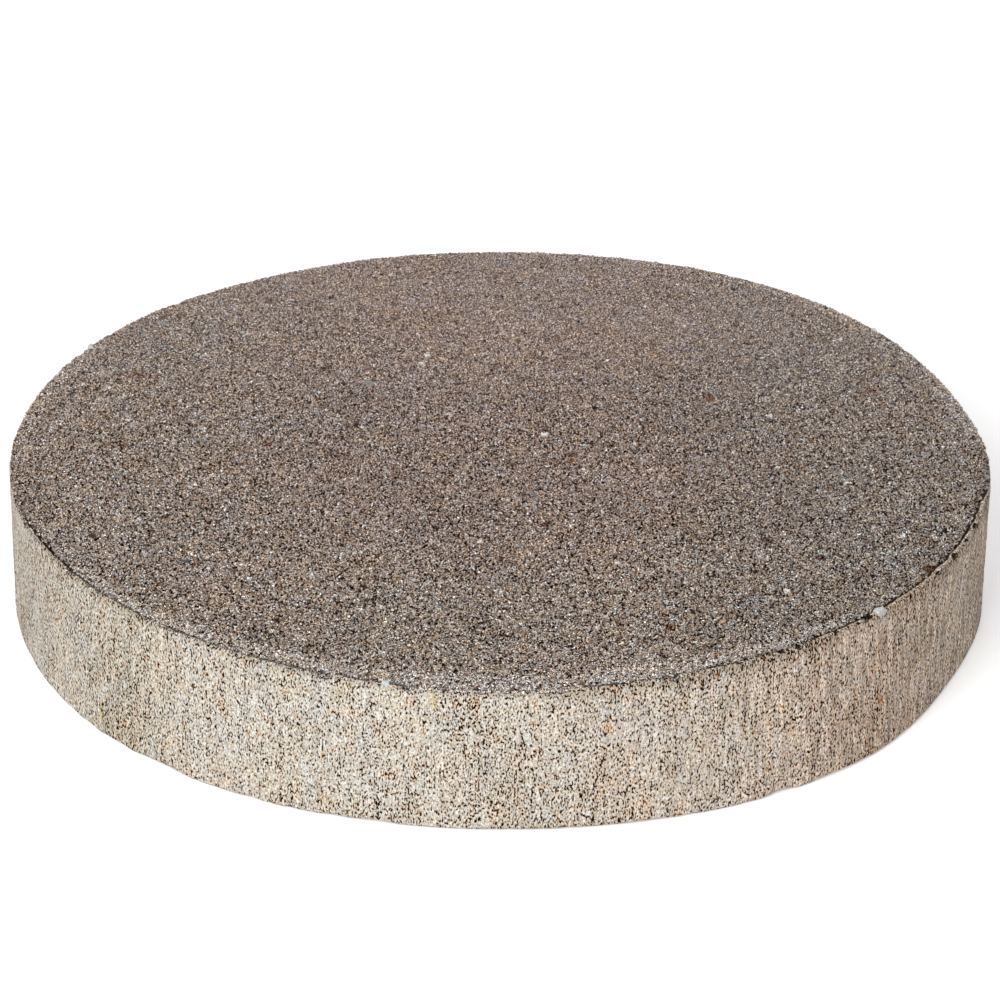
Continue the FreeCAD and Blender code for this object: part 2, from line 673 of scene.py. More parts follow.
# Stretches of the wall with more pits: angle and half length along the rim, both as angles
DENSE_STRETCHES = (
    (radians(-136.5), radians(9)),
    (radians(-91), radians(9)),
    (radians(70), radians(20)),
)
dense = sum(hump(turn_from(angle, centre), 0, half) for centre, half in DENSE_STRETCHES)
add_values(stone, "dense", dense)

# Sand grains that stand out of the tread

GRAIN_SPACING = 0.70
GRAIN_RADIUS = 0.46
GRAIN_PIECES = 4
PORE_SHARE = 0.07
EDGE_GRAINS = 20000
EDGE_GRAIN_FALL = 4.0
OPEN_GRAIN_FALL = 1.0
RIM_SINK = 0.6
RUBBED_AND_LIT_GAIN = 2.15
RUBBED_AND_LIT_COLOURS = (0.02, 0.20)
DIRT_STRENGTH = 0.15
DUST = (0.55, 0.455, 0.408)
DUST_STRENGTH = 0.42
# What grains keep clear of: the rim, a lip, the smear and the pebbles. How much lost edge carries grains
RIM_CLEAR = 0.2
LIP_CLEAR = 0.9
SMEAR_LIMIT = 0.7
PEBBLE_CLEAR = 0.85
LOST_ENOUGH = 0.3
# How grains differ in size and stretch, how flat they lie, and how deep they sink, as shares of their size
GRAIN_SPREAD = 0.24
GRAIN_STRETCH = (0.75, 1.25)
GRAIN_FLATNESS = 0.85
GRAIN_SUNK = (0.25, 0.7)
RIM_SINK_FADE = (0.3, 2.0)
WALL_SINK_FADE = (0.0, 1.0)

# A grain is a shard with four faces
GRAIN_POINTS = np.array([(1, 1, 1), (1, -1, -1), (-1, 1, -1), (-1, -1, 1)]) / sqrt(3)
GRAIN_FACES = np.array([(0, 1, 2), (0, 2, 3), (0, 3, 1), (1, 3, 2)])

# Quartz pebbles in the upper edge: angle, half lengths along the rim, inwards and down, and colour
CHIP_STONES = (
    (radians(-42.5), (2.8, 2.4, 2.4), (0.72, 0.705, 0.70)),
    (radians(-102.2), (1.5, 1.1, 1.0), (0.64, 0.70, 0.73)),
    (radians(37.0), (1.5, 1.3, 1.2), (0.78, 0.74, 0.70)),
    (radians(151.0), (2.0, 1.6, 1.5), (0.72, 0.72, 0.73)),
)
CHIP_SEAT = 0.45


def random_turns(count):
    """Evenly spread random rotation matrices."""
    q = draws.normal(size=(count, 4))
    q /= np.linalg.norm(q, axis=1)[:, None]
    w, x, y, z = q.T
    return np.stack(
        [
            np.stack([1 - 2 * (y * y + z * z), 2 * (x * y - z * w), 2 * (x * z + y * w)], axis=1),
            np.stack([2 * (x * y + z * w), 1 - 2 * (x * x + z * z), 2 * (y * z - x * w)], axis=1),
            np.stack([2 * (x * z - y * w), 2 * (y * z + x * w), 1 - 2 * (x * x + y * y)], axis=1),
        ],
        axis=1,
    )


def grain_places():
    """Angle, inset and drop of every grain before the edge is worn: on the tread, and down the open edge."""
    plan = scattered(RADIUS - RIM_CLEAR, GRAIN_SPACING)
    turn = plan_angle(plan)
    inset = plan_inset(plan)
    there = (inset > lip_width(turn) + LIP_CLEAR) | (lip_share(turn) < 0.5)
    there &= draws.uniform(0, 1, len(turn)) > PORE_SHARE
    there &= smear_share(plan_point(turn, inset, np.zeros(len(turn)))) < SMEAR_LIMIT
    for centre, halves, _ in CHIP_STONES:
        along = turn_from(turn, centre) * RADIUS / halves[0]
        there &= np.hypot(along, (inset - CHIP_SEAT * halves[1]) / halves[1]) > PEBBLE_CLEAR
    edge_turn = draws.uniform(-pi, pi, EDGE_GRAINS)
    edge_fall = draws.uniform(0, EDGE_GRAIN_FALL, EDGE_GRAINS)
    _, _, gone = upper_edge(edge_turn, np.zeros(EDGE_GRAINS), edge_fall)
    open_fall = (1 - lip_share(edge_turn)) * OPEN_GRAIN_FALL * draws.uniform(0, 1, EDGE_GRAINS)
    worn_off = (gone > LOST_ENOUGH) | (edge_fall < open_fall)
    return (
        np.concatenate([turn[there], edge_turn[worn_off]]),
        np.concatenate([inset[there], np.zeros(worn_off.sum())]),
        np.concatenate([np.zeros(there.sum()), edge_fall[worn_off]]),
    )


grain_angle, grain_inset, grain_drop = grain_places()
grain_count = len(grain_angle)
order = draws.permutation(grain_count)
grain_angle, grain_inset, grain_drop = grain_angle[order], grain_inset[order], grain_drop[order]
grain_ground = plan_point(grain_angle, grain_inset, grain_drop)
at_inset, at_drop, _ = upper_edge(grain_angle, grain_inset, grain_drop)
grain_place = plan_point(grain_angle, at_inset, at_drop)
grain_place[:, 2] += tread_relief(grain_ground)

grain_size = GRAIN_RADIUS * np.exp(draws.normal(0, GRAIN_SPREAD, grain_count))
grain_stretch = draws.uniform(*GRAIN_STRETCH, (grain_count, 3))

# A grain is sunk into what carries it: downwards on the tread, inwards on the wall's top
grain_sunk = grain_size * draws.uniform(*GRAIN_SUNK, grain_count)
grain_sunk *= 1 + RIM_SINK * (1 - smooth_step(grain_inset, *RIM_SINK_FADE))
inwards = smooth_step(grain_drop, *WALL_SINK_FADE)
outward = np.column_stack([np.cos(grain_angle), np.sin(grain_angle), np.zeros(grain_count)])
grain_place[:, 2] -= grain_sunk * (1 - inwards)
grain_place -= outward * (grain_sunk * inwards)[:, None]

# Colours of the grains, from dark to pale, and the tints that set some of them apart
GRAIN_TONES = (
    (0.00, (0.022, 0.010, 0.006)),
    (0.06, (0.10, 0.050, 0.031)),
    (0.14, (0.40, 0.304, 0.250)),
    (0.58, (0.535, 0.432, 0.372)),
    (0.88, (0.655, 0.566, 0.510)),
    (0.96, (0.79, 0.732, 0.685)),
    (1.00, (0.92, 0.91, 0.90)),
)
GRAIN_HUES = (
    (0.00, (1.16, 0.82, 0.62)),
    (0.02, (1.10, 0.93, 0.80)),
    (0.05, (1.05, 0.985, 0.92)),
    (0.30, (1.02, 1.0, 0.97)),
    (0.70, (1.0, 1.0, 1.0)),
    (0.96, (0.93, 1.0, 1.06)),
    (0.995, (0.94, 1.0, 1.05)),
    (1.00, (1.03, 0.70, 0.60)),
)


def colours_along(stops, values):
    """Colours read from a list of (place, colour) stops."""
    places = [place for place, _ in stops]
    channels = zip(*(colour for _, colour in stops))
    return np.column_stack([np.interp(values, places, channel) for channel in channels])


def random_place(radius, area):
    """A random point in plan, inside the inner share of a circle's area."""
    turn = draws.uniform(-pi, pi)
    away = radius * sqrt(draws.uniform(0, area))
    return away * cos(turn), away * sin(turn)


# Spots where the sand has another colour: x, y, half length along x and along y, and the colour
RUST = (0.32, 0.105, 0.035)
DARK_RED = (0.13, 0.035, 0.028)
BROWN = (0.25, 0.11, 0.052)
REDDISH = (0.36, 0.225, 0.17)
SLATE = (0.19, 0.19, 0.20)
SPOTS = [
    (66.8, 38.6, 1.8, 3.2, RUST),
    (22.1, -1.0, 2.6, 1.8, DARK_RED),
    (0.6, -120.3, 2.6, 1.6, DARK_RED),
    (-73.1, 3.4, 2.4, 2.6, BROWN),
    (-117.0, 52.6, 8.0, 4.5, REDDISH),
    (128.0, -76.0, 2.2, 3.4, BROWN),
]
SPOT_COUNT = 30
SPOT_COLOURS = (RUST, DARK_RED, BROWN, REDDISH, SLATE)
SPOT_ODDS = (0.14, 0.2, 0.26, 0.2, 0.2)
SPOT_AREA = 0.95
SPOT_HALVES = (0.9, 2.4)
SPOT_STRENGTH = 0.75
SPOT_DARKEST = 0.5
for _ in range(SPOT_COUNT):
    SPOTS.append(
        (
            *random_place(RADIUS, SPOT_AREA),
            draws.uniform(*SPOT_HALVES),
            draws.uniform(*SPOT_HALVES),
            SPOT_COLOURS[draws.choice(len(SPOT_COLOURS), p=SPOT_ODDS)],
        )
    )

grain_tone = draws.uniform(0, 1, grain_count)
grain_colour = colours_along(GRAIN_TONES, grain_tone)
grain_colour *= colours_along(GRAIN_HUES, draws.uniform(0, 1, grain_count))
for spot_x, spot_y, half_x, half_y, spot_colour in SPOTS:
    share = ellipse_share(grain_ground, spot_x, spot_y, half_x, half_y)[:, None]
    spot_tones = np.array(spot_colour) * (SPOT_DARKEST + grain_tone[:, None])
    grain_colour += SPOT_STRENGTH * share * (spot_tones - grain_colour)

# The middle and the back are browner, the right side has painted shade, and the front is washed cleaner
MIDDLE_TINT = np.array((0.94, 0.945, 0.96))
OUTER_TINT = np.array((0.965, 1.012, 1.02))
OUTER_FADE = (40.0, 110.0)
CLEAN_PIVOT = np.array((0.42, 0.345, 0.30))
RIGHT_PAINTED_SHADE = np.array((0.90, 0.92, 0.935))
RIGHT_FADE = (20.0, 110.0)
CLEAN_CONTRAST = 0.14
DARKEST = 0.004
from_middle = np.hypot(grain_ground[:, 0], np.minimum(grain_ground[:, 1], 0))
outer_share = smooth_step(from_middle, *OUTER_FADE)[:, None]
grain_colour *= MIDDLE_TINT + outer_share * (OUTER_TINT - MIDDLE_TINT)
right_share = smooth_step(grain_ground[:, 0], *RIGHT_FADE)[:, None]
grain_colour *= 1 + right_share * (RIGHT_PAINTED_SHADE - 1)
contrast = 1 + CLEAN_CONTRAST * clean_share(grain_ground)[:, None]
grain_colour = np.maximum(CLEAN_PIVOT + contrast * (grain_colour - CLEAN_PIVOT), DARKEST)

# On the rubbed border the grains are painted lighter: painted light, as well as wear
grain_gain = rubbed_and_lit_share(grain_angle, grain_inset)[:, None] * (RUBBED_AND_LIT_GAIN - 1)
grain_gain = grain_gain * smooth_step(grain_colour, *RUBBED_AND_LIT_COLOURS)
grain_colour *= (1 + grain_gain) / (1 + grain_gain * grain_colour)
grain_colour *= 1 - DIRT_STRENGTH * dirt_share(grain_angle, grain_inset)[:, None]
grain_colour += DUST_STRENGTH * dust_share(grain_ground)[:, None] * (np.array(DUST) - grain_colour)

# Small dark pits, painted as shade on the grains, and patches of warmer, cooler and paler sand
WARM_STEP = np.array((0.06, -0.01, -0.15))
WARM_WAVES = ((0.6, 1.9, 41), (0.5, 4.5, 42))
warmth = layered(grain_ground, WARM_WAVES)
grain_colour *= 1 + warmth[:, None] * WARM_STEP
PIT_SHADE_DEPTH = 0.85
PIT_SIZE = 1.1
PIT_FADE = (0.62, 0.74)
grain_colour *= 1 - PIT_SHADE_DEPTH * smooth_step(noise(grain_ground, PIT_SIZE, 43), *PIT_FADE)[:, None]
PALE_PATCH = (0.60, 0.565, 0.54)
PALE_STRENGTH = 0.25
PALE_SIZE = 1.6
PALE_FADE = (0.55, 0.75)
pale_share = PALE_STRENGTH * smooth_step(noise(grain_ground, PALE_SIZE, 44), *PALE_FADE)[:, None]
grain_colour += pale_share * (np.array(PALE_PATCH) - grain_colour)

# Larger pale grains: x, y, radius and colour
QUARTZ = (0.88, 0.87, 0.85)
PALE_GREY = (0.60, 0.61, 0.62)
FLECKS = [
    (14.0, 12.0, 1.7, QUARTZ),
    (42.0, 6.5, 1.5, QUARTZ),
    (-24.0, 70.0, 1.5, QUARTZ),
    (-25.5, 63.5, 1.4, QUARTZ),
    (85.0, -91.0, 1.5, QUARTZ),
    (85.0, 27.0, 1.4, QUARTZ),
    (-56.0, -84.0, 1.3, QUARTZ),
    (122.0, -55.0, 1.3, QUARTZ),
    (35.5, -74.5, 1.3, QUARTZ),
]
FLECK_COUNT = 80
FLECK_SHARDS = 4
FLECK_SPECKS = 0.25
FLECK_MARGIN = 6
FLECK_RADII = (0.6, 1.0)
FLECK_SHIFT = 0.3
FLECK_SUNK = 0.35
FLECK_STRETCH = (0.8, 1.2)
for _ in range(FLECK_COUNT):
    FLECKS.append(
        (
            *random_place(RADIUS - FLECK_MARGIN, 1),
            draws.uniform(*FLECK_RADII),
            (QUARTZ, PALE_GREY)[draws.choice(2)],
        )
    )


def with_flecks():
    """The grains' places, sizes and colours, with the larger pale grains after them."""
    flat = np.repeat([(x, y, THICKNESS) for x, y, _, _ in FLECKS], FLECK_SHARDS, axis=0)
    size = np.repeat([radius for _, _, radius, _ in FLECKS], FLECK_SHARDS)
    flat[:, :2] += draws.uniform(-FLECK_SHIFT, FLECK_SHIFT, (len(size), 2)) * size[:, None]
    place = flat.copy()
    place[:, 2] += tread_relief(flat) - FLECK_SUNK * size
    colour = np.repeat([fleck_colour for _, _, _, fleck_colour in FLECKS], FLECK_SHARDS, axis=0)
    return (
        np.vstack([grain_place, place]),
        np.concatenate([grain_size, size]),
        np.vstack([grain_stretch, draws.uniform(*FLECK_STRETCH, (len(size), 3))]),
        np.vstack([grain_colour, colour]),
    )


sand_count = grain_count
grain_place, grain_size, grain_stretch, grain_colour = with_flecks()
grain_count = len(grain_size)


def grain_corners(place, size, stretch, flatten):
    """Corners of grains that are turned at random and then flattened in height."""
    corners = GRAIN_POINTS[None] * stretch[:, None] * size[:, None, None]
    corners = np.einsum("nij,nkj->nki", random_turns(len(size)), corners)
    corners[:, :, 2] *= flatten
    return corners + place[:, None]


def grain_piece(name, corners, colours, speckled):
    count, each = corners.shape[:2]
    faces = (np.arange(count)[:, None, None] * each + GRAIN_FACES[None]).reshape(-1, 3)
    piece = make_mesh(name, corners.reshape(-1, 3) * MM, faces, smooth=False)
    add_colours(piece, "grain_colour", np.repeat(colours, each, axis=0))
    add_values(piece, "speckled", np.repeat(speckled, each))
    return piece


tread_corners = grain_corners(grain_place, grain_size, grain_stretch, GRAIN_FLATNESS)
tread_speckled = np.where(np.arange(grain_count) < sand_count, 1.0, FLECK_SPECKS)
grain_pieces = []
for number in range(GRAIN_PIECES):
    share_of_grains = slice(number, None, GRAIN_PIECES)
    grain_pieces.append(
        grain_piece(
            f"tread_grains_{number + 1}",
            tread_corners[share_of_grains],
            grain_colour[share_of_grains],
            tread_speckled[share_of_grains],
        )
    )

# Single grains that show in the wall: angle, drop, radius and colour
ORANGE = (0.58, 0.28, 0.12)
TAN = (0.45, 0.32, 0.21)
UMBER = (0.16, 0.085, 0.05)
ASH = (0.42, 0.42, 0.41)
WALL_GRAINS = [
    (radians(-88.7), 34.6, 0.85, ORANGE),
    (radians(-87.2), 34.3, 0.75, ORANGE),
    (radians(-88.2), 31.6, 0.7, TAN),
    (radians(-78.1), 13.6, 1.2, TAN),
    (radians(-77.9), 15.6, 1.0, ORANGE),
]
WALL_GRAIN_COUNT = 520
WALL_GRAIN_COLOURS = (ORANGE, TAN, UMBER, ASH)
WALL_GRAIN_ODDS = (0.1, 0.36, 0.32, 0.22)
WALL_GRAIN_DROPS = (2.5, THICKNESS - 1.5)
WALL_GRAIN_RADII = (0.3, 0.62)
WALL_GRAIN_SUNK = 0.62
WALL_GRAIN_STRETCH = (0.8, 1.25)
for _ in range(WALL_GRAIN_COUNT):
    WALL_GRAINS.append(
        (
            draws.uniform(-pi, pi),
            draws.uniform(*WALL_GRAIN_DROPS),
            draws.uniform(*WALL_GRAIN_RADII),
            WALL_GRAIN_COLOURS[draws.choice(len(WALL_GRAIN_COLOURS), p=WALL_GRAIN_ODDS)],
        )
    )


def wall_grain_piece():
    turn, fall, size = (np.array([grain[column] for grain in WALL_GRAINS]) for column in range(3))
    colour = np.array([grain[3] for grain in WALL_GRAINS])
    ground = plan_point(turn, np.zeros(len(turn)), fall)
    sunk = WALL_GRAIN_SUNK * size - wall_relief(ground)
    place = plan_point(turn, sunk, fall)
    stretch = draws.uniform(*WALL_GRAIN_STRETCH, (len(size), 3))
    return grain_piece("wall_grains", grain_corners(place, size, stretch, 1.0), colour, np.ones(len(size)))


wall_grains = wall_grain_piece()

CHIP_POINTS = 26
CHIP_SPREAD = (0.8, 1.1)
CHIP_PROUD_OUT = 0.12
CHIP_PROUD_UP = 0.15


def chip_stone(mesh, centre, halves):
    """Add one pebble to a bmesh: the hull of points on an ellipsoid, cut off near the tread and the wall."""
    spread = draws.normal(size=(CHIP_POINTS, 3))
    spread /= np.linalg.norm(spread, axis=1)[:, None]
    local = spread * np.array(halves) * draws.uniform(*CHIP_SPREAD, (CHIP_POINTS, 1))
    turn = centre + local[:, 0] / RADIUS
    inset = np.maximum(CHIP_SEAT * halves[1] + local[:, 1], -CHIP_PROUD_OUT)
    fall = np.maximum(CHIP_SEAT * halves[2] + local[:, 2], -CHIP_PROUD_UP)
    points = plan_point(turn, inset, fall) * MM
    made = [mesh.verts.new(point) for point in points]
    hull = bmesh.ops.convex_hull(mesh, input=made)
    unused = [item for item in hull["geom_interior"] if isinstance(item, bmesh.types.BMVert)]
    bmesh.ops.delete(mesh, geom=unused, context="VERTS")
    return len(made) - len(unused)


def chip_piece():
    mesh = bmesh.new()
    colours = []
    for centre, halves, colour in CHIP_STONES:
        count = chip_stone(mesh, centre, halves)
        colours += [colour] * count
    bmesh.ops.triangulate(mesh, faces=mesh.faces[:])
    data = bpy.data.meshes.new("edge_chips")
    mesh.to_mesh(data)
    mesh.free()
    piece = add_object("edge_chips", data)
    add_colours(piece, "grain_colour", np.array(colours))
    add_values(piece, "speckled", np.full(len(colours), FLECK_SPECKS))
    return piece


edge_chips = chip_piece()

# Concrete


class Tree:
    """Short calls for making and linking the nodes of one material."""

    def __init__(self, material):
        material.use_nodes = True
        self.nodes = material.node_tree.nodes
        self.links = material.node_tree.links
        self.nodes.clear()

    def add(self, kind, inputs=(), **settings):
        made = self.nodes.new("ShaderNode" + kind)
        for key, value in settings.items():
            setattr(made, key, value)
        for key, value in dict(inputs).items():
            self.put(made.inputs[key], value)
        return made

    def put(self, socket, value):
        if isinstance(value, bpy.types.NodeSocket):
            self.links.new(value, socket)
        else:
            socket.default_value = value

    def math(self, operation, *values):
        return self.add("Math", enumerate(values), operation=operation).outputs[0]

    def vector(self, operation, *values):
        return self.add("VectorMath", enumerate(values), operation=operation).outputs[0]

    def steps(self, value, low, high, to_low=0.0, to_high=1.0):
        inputs = {"Value": value, "From Min": low, "From Max": high, "To Min": to_low, "To Max": to_high}
        made = self.add("MapRange", inputs, interpolation_type="SMOOTHSTEP")
        return made.outputs["Result"]

    def mix(self, share, first, second, blend="MIX"):
        made = self.add("Mix", data_type="RGBA", blend_type=blend)
        self.put(made.inputs["Factor"], share)
        self.put(made.inputs[6], first)
        self.put(made.inputs[7], second)
        return made.outputs[2]

    def times(self, first, second, share=1.0):
        """One colour multiplied with another, fully or by a share."""
        return self.mix(share, first, second, "MULTIPLY")

    def ramp(self, value, stops):
        made = self.add("ValToRGB", {"Fac": value})
        ramp = made.color_ramp
        while len(ramp.elements) < len(stops):
            ramp.elements.new(1.0)
        for element, (place, colour) in zip(ramp.elements, stops):
            element.position = place
            element.color = (*colour, 1.0)
        return made.outputs["Color"]

    def noise(self, vector, size, detail=2.0, roughness=0.5):
        inputs = {"Vector": vector, "Scale": 1.0 / size, "Detail": detail, "Roughness": roughness}
        return self.add("TexNoise", inputs).outputs["Fac"]

    def upright(self, vector, squeeze, size, detail=2.0, roughness=0.5):
        """Noise with features that are taller than wide, by one over squeeze."""
        squeezed = self.vector("MULTIPLY", vector, (1.0, 1.0, squeeze))
        return self.noise(squeezed, size, detail, roughness)

    def attribute(self, name, output="Fac"):
        return self.add("Attribute", attribute_name=name).outputs[output]

    def weighed(self, name, strength):
        """An attribute times a strength."""
        return self.math("MULTIPLY", self.attribute(name), strength)

    def finish(self, shader, kind="OutputMaterial"):
        output = self.add(kind)
        self.links.new(shader.outputs[0], output.inputs["Surface"])


def millimetres(tree):
    return tree.vector("MULTIPLY", tree.add("TexCoord").outputs["Object"], (1 / MM, 1 / MM, 1 / MM))


# Patterns of the materials: sizes in millimetres, and colours by the value of the noise
BROAD_SIZE = 55.0
BROAD_TONES = ((0.3, (0.96, 0.97, 0.98)), (0.7, (1.04, 1.01, 0.99)))
SPECK_SIZE = 0.4
SPECK_TONES = (
    (0.33, (0.14, 0.082, 0.058)),
    (0.50, (0.92, 0.91, 0.90)),
    (0.67, (1.82, 1.84, 1.86)),
)
GRAIN_ROUGHNESS = 0.8
CONCRETE_ROUGHNESS = 0.9
DULL_SPECULAR = 0.02


def broad_tint(tree, place):
    """Large faint patches, as a colour to multiply with."""
    return tree.ramp(tree.noise(place, BROAD_SIZE, detail=3.0), BROAD_TONES)


def grain_material():
    material = bpy.data.materials.new("sand_grains")
    tree = Tree(material)
    place = millimetres(tree)
    speck = tree.ramp(tree.noise(place, SPECK_SIZE, detail=1.0), SPECK_TONES)
    colour = tree.times(tree.attribute("grain_colour", "Color"), speck, tree.attribute("speckled"))
    colour = tree.times(colour, broad_tint(tree, place))
    inputs = {"Base Color": colour, "Roughness": GRAIN_ROUGHNESS, "Specular IOR Level": DULL_SPECULAR}
    tree.finish(tree.add("BsdfPrincipled", inputs))
    return material


# Tread, between the grains: dark paste, whose near-black tones are painted shade in the gaps
FINE_SIZE = 0.5
FINE_ROUGHNESS = 0.6
PASTE_AND_GAP_SHADE_TONES = (
    (0.41, (0.008, 0.003, 0.0015)),
    (0.54, (0.050, 0.026, 0.016)),
    (0.72, (0.22, 0.160, 0.128)),
)
# Paste of the rubbed border, painted lighter: painted light as well as wear
RUBBED_AND_LIT_TONES = (
    (0.40, (0.012, 0.008, 0.006)),
    (0.50, (0.18, 0.150, 0.132)),
    (0.64, (0.60, 0.55, 0.51)),
)
# Near the front the paste is darker still: more painted shade between the grains
CLEAN_PASTE_AND_GAP_SHADE = (0.010, 0.0045, 0.0025, 1.0)
CLEAN_STRENGTH = 0.5
# Painted shade in the groove beside the lip
GROOVE_PAINTED_SHADE = (0.055, 0.037, 0.028, 1.0)
SMEAR_TONES = (
    (0.3, (0.22, 0.20, 0.19)),
    (0.5, (0.36, 0.335, 0.32)),
    (0.7, (0.48, 0.45, 0.43)),
)
SMEAR_FADE = (0.25, 0.6)


def tread_finish(tree, fine):
    """Colour of the tread between the grains: dark paste with painted shade in its gaps and groove, paler
    where rubbed and painted lighter, dusty or smeared.
    """
    colour = tree.ramp(fine, PASTE_AND_GAP_SHADE_TONES)
    colour = tree.mix(tree.weighed("clean", CLEAN_STRENGTH), colour, CLEAN_PASTE_AND_GAP_SHADE)
    colour = tree.mix(tree.attribute("rubbed_and_lit"), colour, tree.ramp(fine, RUBBED_AND_LIT_TONES))
    colour = tree.mix(tree.weighed("dust", DUST_STRENGTH), colour, (*DUST, 1.0))
    colour = tree.mix(tree.attribute("groove"), colour, GROOVE_PAINTED_SHADE)
    smeared = tree.steps(tree.attribute("smear"), *SMEAR_FADE)
    return tree.mix(smeared, colour, tree.ramp(fine, SMEAR_TONES))


# Wall: its pits, whose dark colour is partly painted shade, and upright patterns that shift their level:
# squeeze, size, detail, fade and shift
PITS = {"squeeze": 0.53, "size": 0.47, "detail": 1.0, "roughness": 0.35}
ROUGH_SIDE_GAIN = 0.08
LEVEL_SHIFTS = (
    (0.5, 24.0, 3.0, (0.35, 0.65), 0.02),
    (0.45, 3.0, 1.0, (0.3, 0.7), 0.01),
    (0.10, 1.2, 2.0, (0.3, 0.7), 0.04),
)
GRIME_SHIFT = 0.05
DENSE_SHIFT = 0.016
WALL_TONES_WITH_PIT_SHADE = (
    (0.312, (0.012, 0.004, 0.001)),
    (0.366, (0.09, 0.044, 0.019)),
    (0.402, (0.38, 0.274, 0.178)),
    (0.435, (0.67, 0.585, 0.472)),
    (0.50, (0.62, 0.55, 0.450)),
    (0.58, (0.71, 0.645, 0.55)),
    (0.70, (0.90, 0.85, 0.765)),
)
MOTTLE_SIZE = 0.42
MOTTLE_FADE = (0.3, 0.7)
MOTTLE_GAINS = (0.78, 1.21)
MINERAL_SIZE = 1.6
MINERAL_TONES = (
    (0.30, (0.96, 1.0, 1.05)),
    (0.50, (1.0, 1.0, 1.0)),
    (0.70, (1.03, 0.985, 0.93)),
    (0.80, (1.07, 0.93, 0.81)),
)
RUSTY_TINT = (1.3, 0.88, 0.55, 1.0)
RUSTY_SIZE = 4.0
RUSTY_FADE = (0.5, 0.68)
RUSTY_LEVELS = (0.48, 0.41)

# Upright streaks of the wall, strongest on the right side, where some are rusty
STREAKS = {"squeeze": 0.07, "size": 1.1}
STREAK_TONES = (
    (0.34, (0.66, 0.65, 0.64)),
    (0.50, (1.0, 1.0, 1.0)),
    (0.66, (1.38, 1.41, 1.44)),
)
STREAK_STRENGTH = 0.2
STREAK_MORE = 0.7
RUNS = {"squeeze": 0.2, "size": 4.0, "detail": 1.0}
RUN_FADE = (0.50, 0.72)
RUN_STRENGTH = 0.08
BLOOM = {"squeeze": 0.6, "size": 8.0}
BLOOM_TONES = (
    (0.3, (0.95, 0.98, 1.03)),
    (0.5, (1.0, 1.0, 1.0)),
    (0.7, (1.02, 0.995, 0.95)),
)
GRIME_SHADE = 0.24


def pit_level(tree, place):
    """The wall's height: low in its pits, which are taller than wide and gather in streaks and patches."""
    pits = tree.math("SUBTRACT", tree.upright(place, **PITS), 0.5)
    harsh = tree.math("ADD", 1.0, tree.weighed("rough_side", ROUGH_SIDE_GAIN))
    level = tree.math("MULTIPLY_ADD", pits, harsh, 0.5)
    for squeeze, size, detail, fade, shift in LEVEL_SHIFTS:
        pattern = tree.upright(place, squeeze, size, detail)
        level = tree.math("ADD", level, tree.steps(pattern, *fade, -shift, shift))
    level = tree.math("SUBTRACT", level, tree.weighed("grime", GRIME_SHIFT))
    return tree.math("SUBTRACT", level, tree.weighed("dense", DENSE_SHIFT))


def wall_finish(tree, place, level):
    """Colour of the wall: cement skin with dark pits, partly painted shade, stained, streaked, and dirty under
    the edge.
    """
    colour = tree.ramp(level, WALL_TONES_WITH_PIT_SHADE)
    mottle = tree.noise(place, MOTTLE_SIZE, detail=1.0)
    colour = tree.times(colour, tree.steps(mottle, *MOTTLE_FADE, *MOTTLE_GAINS))
    colour = tree.times(colour, tree.ramp(tree.noise(place, MINERAL_SIZE, detail=1.0), MINERAL_TONES))
    rusty = tree.steps(tree.noise(place, RUSTY_SIZE), *RUSTY_FADE)
    rusty = tree.math("MULTIPLY", rusty, tree.steps(level, *RUSTY_LEVELS))
    colour = tree.mix(rusty, colour, tree.times(colour, RUSTY_TINT))
    rough_side = tree.attribute("rough_side")
    streaked = tree.math("MULTIPLY_ADD", rough_side, STREAK_MORE, STREAK_STRENGTH)
    colour = tree.times(colour, tree.ramp(tree.upright(place, **STREAKS), STREAK_TONES), streaked)
    runs = tree.steps(tree.upright(place, **RUNS), *RUN_FADE, 0.0, RUN_STRENGTH)
    runs = tree.math("MULTIPLY", runs, rough_side)
    colour = tree.mix(runs, colour, tree.times(colour, RUSTY_TINT))
    colour = tree.times(colour, tree.ramp(tree.upright(place, **BLOOM), BLOOM_TONES))
    colour = tree.times(colour, tree.attribute("tint", "Color"))
    return tree.times(colour, tree.math("SUBTRACT", 1.0, tree.weighed("grime", GRIME_SHADE)))


# Base: grey and rough, as it came off the mould board
BASE_TONES = (
    (0.35, (0.11, 0.095, 0.08)),
    (0.5, (0.34, 0.305, 0.265)),
    (0.65, (0.5, 0.455, 0.40)),
)

# The ragged line between the two finishes, and the bump
RAGGED_SIZE = 1.3
RAGGED_REACH = 2.0
RAGGED_FADE = (0.42, 0.58)
SKIN_LEVEL = 0.52
BUMP_STRENGTH = 0.8
BUMP_HEIGHT = 0.9


